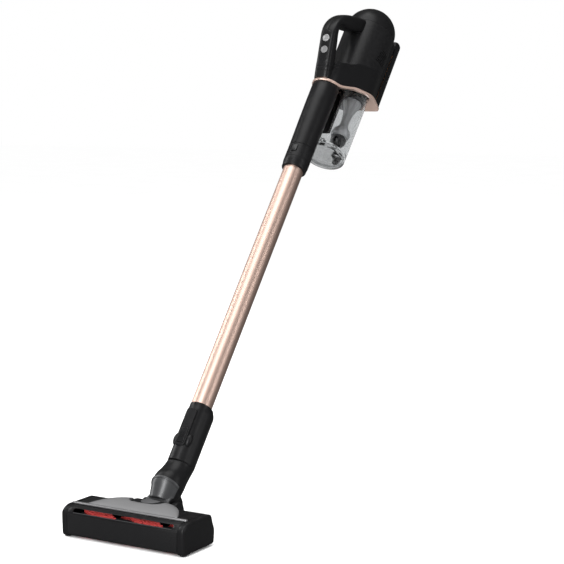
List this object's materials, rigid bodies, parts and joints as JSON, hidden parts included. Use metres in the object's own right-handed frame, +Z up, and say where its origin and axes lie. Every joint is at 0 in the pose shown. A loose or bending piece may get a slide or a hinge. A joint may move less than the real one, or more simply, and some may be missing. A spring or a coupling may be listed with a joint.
{
  "type": "cordless stick vacuum",
  "caption": "Cordless stick vacuum with a looped hand grip, clear dust cup, straight metal wand, swivelling neck and motorised floor head.",
  "frame": {"origin": "middle of the hand grip", "axes": "+X across the floor head to its right, +Y away from the floor head's front edge, +Z up"},
  "size_m": [0.26, 0.9681, 0.9497],
  "materials": {
    "satin_black": "satin black moulding",
    "matt_black": "fine matt black moulding",
    "gloss_black": "gloss black moulding",
    "dark_grey": "satin dark grey moulding",
    "silver_grey": "silver-grey metallic paint on plastic",
    "rose_gold": "rose-gold anodised",
    "clear_smoke": "clear, lightly smoked",
    "red_bristle": "red nylon pile",
    "rubber": "matt rubber",
    "steel": "turned steel",
    "motor_metal": "plain machined",
    "filter": "pleated white filter felt",
    "board": "green solder mask",
    "cells": "shrink-wrapped cells"
  },
  "bodies": {
    "handheld": {"handle_left": "satin_black", "handle_right": "satin_black", "body_shell": "matt_black", "trim_plate": "rose_gold", "control_panel": "gloss_black", "circuit_board": "board", "intake_barrel": "satin_black", "barrel_collar": "satin_black", "wand_tube": "rose_gold", "lower_connector": "satin_black", "motor_cover": "gloss_black", "motor_can": "motor_metal", "motor_mount": "dark_grey", "exhaust_filter": "filter", "pre_filter": "filter", "cup_seal": "rubber", "vortex_finder": "dark_grey", "battery_dock": "matt_black"},
    "power_key": {"power_button": "silver_grey"},
    "level_key": {"level_button": "silver_grey"},
    "wand_key": {"barrel_release": "gloss_black"},
    "head_key": {"connector_release": "gloss_black"},
    "fan": {"fan_rotor": "dark_grey"},
    "battery": {"battery_case": "satin_black", "cell_pack": "cells"},
    "battery_key": {"battery_release": "gloss_black"},
    "dust_cup": {"cup_wall": "clear_smoke", "inlet_duct": "satin_black", "flap_pin": "steel"},
    "flap": {"cup_flap": "clear_smoke"},
    "flap_key": {"flap_release": "dark_grey"},
    "elbow": {"elbow_shell": "satin_black", "elbow_front_cover": "dark_grey", "swivel_sleeve": "dark_grey"},
    "floor_head": {"head_base": "matt_black", "head_cover": "satin_black", "end_cap_left": "satin_black", "end_cap_right": "satin_black", "front_bumper": "gloss_black", "top_bar": "silver_grey", "dome_cover": "silver_grey", "roller_bearing_left": "steel", "roller_bearing_right": "steel", "head_motor": "motor_metal", "drive_belt": "rubber", "sole_lip": "rubber", "neck_cradle": "satin_black", "sole_screw_left": "steel", "sole_screw_right": "steel"},
    "brush_roller": {"brush_core": "dark_grey", "bristle_strip_a": "red_bristle", "bristle_strip_b": "red_bristle"},
    "drive_shaft": {"drive_pulley": "steel"},
    "wheel_left": {"rear_wheel_left": "rubber"},
    "wheel_right": {"rear_wheel_right": "rubber"},
    "glide_left": {"sole_roller_left": "rubber"},
    "glide_right": {"sole_roller_right": "rubber"}
  },
  "joints": [
    {"name": "power_press", "type": "slide", "parent": "handheld", "child": "power_key", "axis": [0, 0.9517, -0.307], "range_m": [0, 0.001], "stiffness_N_per_m": 400},
    {"name": "level_press", "type": "slide", "parent": "handheld", "child": "level_key", "axis": [0, 0.9517, -0.307], "range_m": [0, 0.001], "stiffness_N_per_m": 400},
    {"name": "wand_release_press", "type": "slide", "parent": "handheld", "child": "wand_key", "axis": [0, 0.7842, -0.6205], "range_m": [0, 0.001], "stiffness_N_per_m": 400},
    {"name": "head_release_press", "type": "slide", "parent": "handheld", "child": "head_key", "axis": [0, 0.7842, -0.6205], "range_m": [0, 0.001], "stiffness_N_per_m": 400},
    {"name": "fan_spin", "type": "hinge", "parent": "handheld", "child": "fan", "pos_m": [0, 0.11212, -0.05729], "axis": [0, 0.6205, 0.7842], "continuous": true},
    {"name": "battery_slide", "type": "slide", "parent": "handheld", "child": "battery", "axis": [0, 0.6205, 0.7842], "range_m": [0, 0.06]},
    {"name": "battery_release_press", "type": "slide", "parent": "battery", "child": "battery_key", "axis": [0, -0.7842, 0.6205], "range_m": [0, 0.001], "stiffness_N_per_m": 400},
    {"name": "cup_slide", "type": "slide", "parent": "handheld", "child": "dust_cup", "axis": [0, -0.6205, -0.7842], "range_m": [0, 0.06]},
    {"name": "flap_hinge", "type": "hinge", "parent": "dust_cup", "child": "flap", "pos_m": [0, -0.05772, -0.19298], "axis": [-1, 0, 0], "range_deg": [0, 85]},
    {"name": "flap_release_press", "type": "slide", "parent": "dust_cup", "child": "flap_key", "axis": [0, -0.7842, 0.6205], "range_m": [0, 0.0012], "stiffness_N_per_m": 400},
    {"name": "neck_swivel", "type": "hinge", "parent": "handheld", "child": "elbow", "pos_m": [0, -0.53986, -0.76048], "axis": [0, 0.6205, 0.7842], "range_deg": [-60, 60]},
    {"name": "neck_tilt", "type": "hinge", "parent": "elbow", "child": "floor_head", "pos_m": [0, -0.5976, -0.82701], "axis": [1, 0, 0], "range_deg": [-38, 45]},
    {"name": "roller_spin", "type": "hinge", "parent": "floor_head", "child": "brush_roller", "pos_m": [0, -0.6879, -0.84351], "axis": [1, 0, 0], "continuous": true},
    {"name": "drive_spin", "type": "hinge", "parent": "floor_head", "child": "drive_shaft", "pos_m": [0, -0.6449, -0.84001], "axis": [1, 0, 0], "continuous": true},
    {"name": "wheel_left_spin", "type": "hinge", "parent": "floor_head", "child": "wheel_left", "pos_m": [-0.0436, -0.5829, -0.85401], "axis": [1, 0, 0], "continuous": true},
    {"name": "wheel_right_spin", "type": "hinge", "parent": "floor_head", "child": "wheel_right", "pos_m": [0.0436, -0.5829, -0.85401], "axis": [1, 0, 0], "continuous": true},
    {"name": "glide_left_spin", "type": "hinge", "parent": "floor_head", "child": "glide_left", "pos_m": [-0.095, -0.6389, -0.86101], "axis": [1, 0, 0], "continuous": true},
    {"name": "glide_right_spin", "type": "hinge", "parent": "floor_head", "child": "glide_right", "pos_m": [0.095, -0.6389, -0.86101], "axis": [1, 0, 0], "continuous": true}
  ],
  "couplings": [
    {"joint": "drive_spin", "follows": "roller_spin", "ratio": 2}
  ]
}
